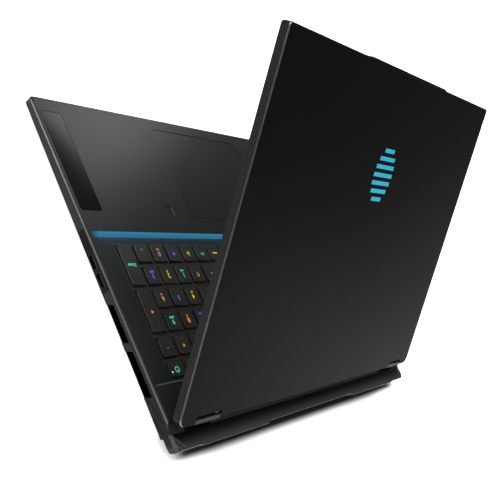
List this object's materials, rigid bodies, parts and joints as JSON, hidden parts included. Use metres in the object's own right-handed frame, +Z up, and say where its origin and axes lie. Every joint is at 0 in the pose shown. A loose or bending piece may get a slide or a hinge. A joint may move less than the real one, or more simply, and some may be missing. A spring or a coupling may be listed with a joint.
{
  "type": "laptop computer",
  "caption": "Large open laptop with a thin hinged lid, sunken full-size keyboard with number pad, blue light bar, touchpad, vented sides and a rear port tail.",
  "frame": {"origin": "on the surface it stands on, under the middle of the base", "axes": "+Z up, +X to the user's right, front edge of the palm rest towards -Y"},
  "size_m": [0.404, 0.3099, 0.2451],
  "materials": {
    "deck_metal": "dark satin anodised",
    "lid_metal": "near-black matte anodised",
    "case_plastic": "fine moulded texture",
    "grille_plastic": "polished black",
    "light": "frosted, lit blue",
    "key_plastic": "satin, fine texture",
    "steel": "dark plated",
    "plate": "plain sheet",
    "pad_glass": "fine etched glass",
    "screen": "dark glass, display off",
    "foot_rubber": "matte",
    "socket_plastic": "moulded",
    "board": "solder mask",
    "battery": "film wrapped",
    "copper": "bare copper",
    "fan_plastic": "moulded"
  },
  "bodies": {
    "base": {"keyboard_deck": "deck_metal", "light_bar": "light", "key_frame": "key_plastic", "key_plate": "plate", "touchpad_tray": "case_plastic", "fingerprint_sensor": "pad_glass", "bottom_cover": "case_plastic", "bottom_screws": "steel", "rubber_feet": "foot_rubber", "rear_cover": "case_plastic", "exhaust_grilles": "grille_plastic", "rear_sockets": "steel", "power_inlet": "socket_plastic", "usb_sockets": "steel", "audio_jack": "socket_plastic", "mainboard": "board", "memory_modules": "board", "storage_drive": "board", "battery_pack": "battery", "speaker_drivers": "case_plastic", "heat_sink": "copper", "speaker_grille_left": "grille_plastic", "speaker_grille_right": "grille_plastic", "hinge_bracket_left": "steel", "hinge_bracket_right": "steel", "fan_housing_left": "fan_plastic", "fan_housing_right": "fan_plastic"},
    "lid": {"lid_cover": "lid_metal", "lid_emblem": "light", "screen_bezel": "case_plastic", "display_panel": "screen", "webcam": "screen", "hinge_leaf_left": "steel", "hinge_leaf_right": "steel"},
    "touchpad_plate": {"touchpad": "pad_glass"},
    "fan_left": {"fan_wheel_left": "fan_plastic"},
    "fan_right": {"fan_wheel_right": "fan_plastic"},
    "space_bar_body": {"space_bar": "key_plastic"},
    "bottom_keys_body": {"bottom_keys": "key_plastic"},
    "lower_keys_body": {"lower_keys": "key_plastic"},
    "home_keys_body": {"home_keys": "key_plastic"},
    "upper_keys_body": {"upper_keys": "key_plastic"},
    "number_keys_body": {"number_keys": "key_plastic"},
    "function_keys_body": {"function_keys": "key_plastic"},
    "power_key_body": {"power_key": "key_plastic"},
    "pad_enter_body": {"pad_enter": "key_plastic"},
    "pad_plus_body": {"pad_plus": "key_plastic"},
    "pad_1_body": {"pad_1": "key_plastic"},
    "pad_2_body": {"pad_2": "key_plastic"},
    "pad_3_body": {"pad_3": "key_plastic"},
    "pad_4_body": {"pad_4": "key_plastic"},
    "pad_5_body": {"pad_5": "key_plastic"},
    "pad_6_body": {"pad_6": "key_plastic"},
    "pad_7_body": {"pad_7": "key_plastic"},
    "pad_8_body": {"pad_8": "key_plastic"},
    "pad_9_body": {"pad_9": "key_plastic"},
    "pad_lock_body": {"pad_lock": "key_plastic"},
    "pad_divide_body": {"pad_divide": "key_plastic"},
    "pad_multiply_body": {"pad_multiply": "key_plastic"},
    "pad_minus_body": {"pad_minus": "key_plastic"}
  },
  "joints": [
    {"name": "lid_hinge", "type": "hinge", "parent": "base", "child": "lid", "pos_m": [0, 0.13575, 0.0221], "axis": [-1, 0, 0], "range_deg": [-48.8, 81.2]},
    {"name": "touchpad_click", "type": "hinge", "parent": "base", "child": "touchpad_plate", "pos_m": [-0.007, -0.0451, 0.01945], "axis": [1, 0, 0], "range_deg": [0, 0.24], "stiffness_Nm_per_rad": 12, "springref_deg": -0.17},
    {"name": "fan_spin_left", "type": "hinge", "parent": "base", "child": "fan_left", "pos_m": [-0.122, 0.09, 0.0087], "axis": [0, 0, 1], "continuous": true},
    {"name": "fan_spin_right", "type": "hinge", "parent": "base", "child": "fan_right", "pos_m": [0.122, 0.09, 0.0087], "axis": [0, 0, 1], "continuous": true},
    {"name": "space_bar_press", "type": "slide", "parent": "base", "child": "space_bar_body", "axis": [0, 0, -1], "range_m": [0, 0.0015], "stiffness_N_per_m": 400, "springref_m": -0.0008},
    {"name": "bottom_keys_press", "type": "slide", "parent": "base", "child": "bottom_keys_body", "axis": [0, 0, -1], "range_m": [0, 0.0015], "stiffness_N_per_m": 400, "springref_m": -0.0008},
    {"name": "lower_keys_press", "type": "slide", "parent": "base", "child": "lower_keys_body", "axis": [0, 0, -1], "range_m": [0, 0.0015], "stiffness_N_per_m": 400, "springref_m": -0.0008},
    {"name": "home_keys_press", "type": "slide", "parent": "base", "child": "home_keys_body", "axis": [0, 0, -1], "range_m": [0, 0.0015], "stiffness_N_per_m": 400, "springref_m": -0.0008},
    {"name": "upper_keys_press", "type": "slide", "parent": "base", "child": "upper_keys_body", "axis": [0, 0, -1], "range_m": [0, 0.0015], "stiffness_N_per_m": 400, "springref_m": -0.0008},
    {"name": "number_keys_press", "type": "slide", "parent": "base", "child": "number_keys_body", "axis": [0, 0, -1], "range_m": [0, 0.0015], "stiffness_N_per_m": 400, "springref_m": -0.0008},
    {"name": "function_keys_press", "type": "slide", "parent": "base", "child": "function_keys_body", "axis": [0, 0, -1], "range_m": [0, 0.0015], "stiffness_N_per_m": 400, "springref_m": -0.0008},
    {"name": "power_key_press", "type": "slide", "parent": "base", "child": "power_key_body", "axis": [0, 0, -1], "range_m": [0, 0.0015], "stiffness_N_per_m": 400, "springref_m": -0.0008},
    {"name": "pad_enter_press", "type": "slide", "parent": "base", "child": "pad_enter_body", "axis": [0, 0, -1], "range_m": [0, 0.0015], "stiffness_N_per_m": 400, "springref_m": -0.0008},
    {"name": "pad_plus_press", "type": "slide", "parent": "base", "child": "pad_plus_body", "axis": [0, 0, -1], "range_m": [0, 0.0015], "stiffness_N_per_m": 400, "springref_m": -0.0008},
    {"name": "pad_1_press", "type": "slide", "parent": "base", "child": "pad_1_body", "axis": [0, 0, -1], "range_m": [0, 0.0015], "stiffness_N_per_m": 400, "springref_m": -0.0008},
    {"name": "pad_2_press", "type": "slide", "parent": "base", "child": "pad_2_body", "axis": [0, 0, -1], "range_m": [0, 0.0015], "stiffness_N_per_m": 400, "springref_m": -0.0008},
    {"name": "pad_3_press", "type": "slide", "parent": "base", "child": "pad_3_body", "axis": [0, 0, -1], "range_m": [0, 0.0015], "stiffness_N_per_m": 400, "springref_m": -0.0008},
    {"name": "pad_4_press", "type": "slide", "parent": "base", "child": "pad_4_body", "axis": [0, 0, -1], "range_m": [0, 0.0015], "stiffness_N_per_m": 400, "springref_m": -0.0008},
    {"name": "pad_5_press", "type": "slide", "parent": "base", "child": "pad_5_body", "axis": [0, 0, -1], "range_m": [0, 0.0015], "stiffness_N_per_m": 400, "springref_m": -0.0008},
    {"name": "pad_6_press", "type": "slide", "parent": "base", "child": "pad_6_body", "axis": [0, 0, -1], "range_m": [0, 0.0015], "stiffness_N_per_m": 400, "springref_m": -0.0008},
    {"name": "pad_7_press", "type": "slide", "parent": "base", "child": "pad_7_body", "axis": [0, 0, -1], "range_m": [0, 0.0015], "stiffness_N_per_m": 400, "springref_m": -0.0008},
    {"name": "pad_8_press", "type": "slide", "parent": "base", "child": "pad_8_body", "axis": [0, 0, -1], "range_m": [0, 0.0015], "stiffness_N_per_m": 400, "springref_m": -0.0008},
    {"name": "pad_9_press", "type": "slide", "parent": "base", "child": "pad_9_body", "axis": [0, 0, -1], "range_m": [0, 0.0015], "stiffness_N_per_m": 400, "springref_m": -0.0008},
    {"name": "pad_lock_press", "type": "slide", "parent": "base", "child": "pad_lock_body", "axis": [0, 0, -1], "range_m": [0, 0.0015], "stiffness_N_per_m": 400, "springref_m": -0.0008},
    {"name": "pad_divide_press", "type": "slide", "parent": "base", "child": "pad_divide_body", "axis": [0, 0, -1], "range_m": [0, 0.0015], "stiffness_N_per_m": 400, "springref_m": -0.0008},
    {"name": "pad_multiply_press", "type": "slide", "parent": "base", "child": "pad_multiply_body", "axis": [0, 0, -1], "range_m": [0, 0.0015], "stiffness_N_per_m": 400, "springref_m": -0.0008},
    {"name": "pad_minus_press", "type": "slide", "parent": "base", "child": "pad_minus_body", "axis": [0, 0, -1], "range_m": [0, 0.0015], "stiffness_N_per_m": 400, "springref_m": -0.0008}
  ]
}
